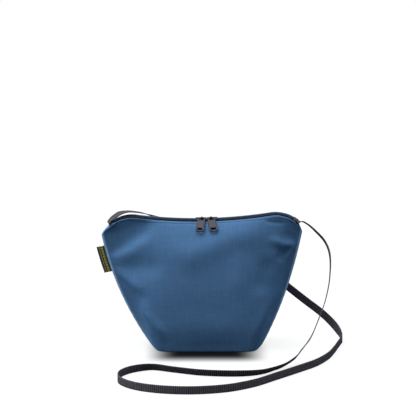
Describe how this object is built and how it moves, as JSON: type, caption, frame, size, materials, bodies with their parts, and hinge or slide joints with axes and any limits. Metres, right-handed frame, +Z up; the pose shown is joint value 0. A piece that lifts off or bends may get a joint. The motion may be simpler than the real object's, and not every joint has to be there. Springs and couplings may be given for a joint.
{
  "type": "shoulder bag",
  "caption": "Small bulged cloth shoulder bag on a boxed base, with a two-slider coil zip along its sagging top and a long flat webbing strap lying beside it.",
  "frame": {"origin": "middle of the base's underside, on the surface that the bag stands on", "axes": "+X to the right along the zip, +Y from the front to the back, +Z up"},
  "size_m": [0.3244, 0.3254, 0.1765],
  "materials": {
    "blue_cloth": "plain-woven padded polyester cloth, matte",
    "lining_cloth": "thin plain lining cloth, matte",
    "base_stiffener": "thin plastic board, matte",
    "zip_tape": "woven tape, matte",
    "zip_coil": "nylon coil, satin",
    "seam_thread": "sewing thread, matte",
    "tack_thread": "sewing thread, matte",
    "slider_metal": "dark grey paint on die-cast zinc, fine knurl on the pulls",
    "webbing": "flat ribbed polyester webbing, matte",
    "label_cloth": "woven ribbon, matte"
  },
  "bodies": {
    "bag_body": {"front_panel": "blue_cloth", "back_panel": "blue_cloth", "base_panel": "blue_cloth", "base_board": "base_stiffener", "lining_front": "lining_cloth", "lining_back": "lining_cloth", "lining_base": "lining_cloth", "zip_tape_front": "zip_tape", "zip_tape_back": "zip_tape", "zip_coil_front": "zip_coil", "zip_coil_back": "zip_coil", "zip_stitch_front": "seam_thread", "zip_stitch_back": "seam_thread", "left_strap_end": "webbing", "right_strap_end": "webbing", "strap": "webbing", "left_bar_tack": "tack_thread", "right_bar_tack": "tack_thread", "side_label": "label_cloth"},
    "left_slider": {"left_slider": "slider_metal"},
    "right_slider": {"right_slider": "slider_metal"},
    "left_pull": {"left_pull": "slider_metal"},
    "right_pull": {"right_pull": "slider_metal"}
  },
  "joints": [
    {"name": "left_slider_travel", "type": "hinge", "parent": "bag_body", "child": "left_slider", "pos_m": [-0.01557, 0, 0.8041], "axis": [0, 1, 0], "range_deg": [0, 6.9]},
    {"name": "right_slider_travel", "type": "hinge", "parent": "bag_body", "child": "right_slider", "pos_m": [-0.01557, 0, 0.8041], "axis": [0, -1, 0], "range_deg": [0, 6.19]},
    {"name": "left_pull_swing", "type": "hinge", "parent": "left_slider", "child": "left_pull", "pos_m": [-0.0065, -0.00408, 0.16794], "axis": [-0.9999, 0, -0.0122], "range_deg": [0, 198]},
    {"name": "right_pull_swing", "type": "hinge", "parent": "right_slider", "child": "right_pull", "pos_m": [0.00551, -0.00408, 0.16822], "axis": [-0.9994, 0, -0.0352], "range_deg": [0, 198]}
  ]
}
